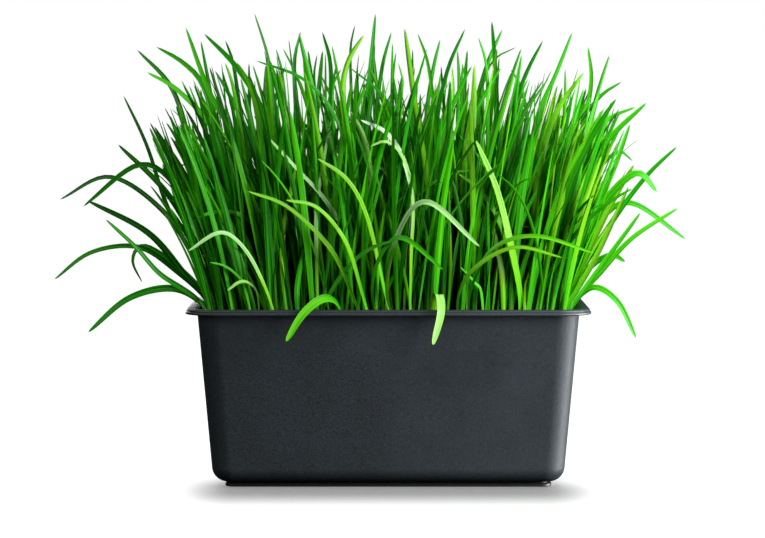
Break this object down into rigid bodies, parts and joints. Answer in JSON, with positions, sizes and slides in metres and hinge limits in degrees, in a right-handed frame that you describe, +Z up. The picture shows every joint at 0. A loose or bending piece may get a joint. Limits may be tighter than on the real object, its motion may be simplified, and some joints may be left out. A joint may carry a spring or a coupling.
{
  "type": "wheatgrass tray",
  "caption": "Deep rectangular planter tray with a beaded rim, filled with potting soil and a dense stand of young wheatgrass that fans out over it.",
  "frame": {"origin": "centre of the foot's underside, on the surface that the tray stands on", "axes": "+X along the tray's length, +Y towards the back, +Z up; the front that the picture shows faces -Y"},
  "size_m": [0.398, 0.1916, 0.293],
  "materials": {
    "tray_plastic": "fine matt moulded grain",
    "potting_soil": "loose damp crumb",
    "grass_blade": "satin leaf with fine lengthwise veins"
  },
  "bodies": {
    "root": {"tray": "tray_plastic", "soil": "potting_soil", "tuft_a1": "grass_blade", "tuft_a2": "grass_blade", "tuft_a3": "grass_blade", "tuft_a4": "grass_blade", "tuft_a5": "grass_blade", "tuft_a6": "grass_blade", "tuft_b1": "grass_blade", "tuft_b2": "grass_blade", "tuft_b3": "grass_blade", "tuft_b4": "grass_blade", "tuft_b5": "grass_blade", "tuft_c1": "grass_blade", "tuft_c2": "grass_blade", "tuft_c3": "grass_blade", "tuft_c4": "grass_blade", "tuft_c5": "grass_blade", "tuft_c6": "grass_blade"}
  },
  "joints": []
}
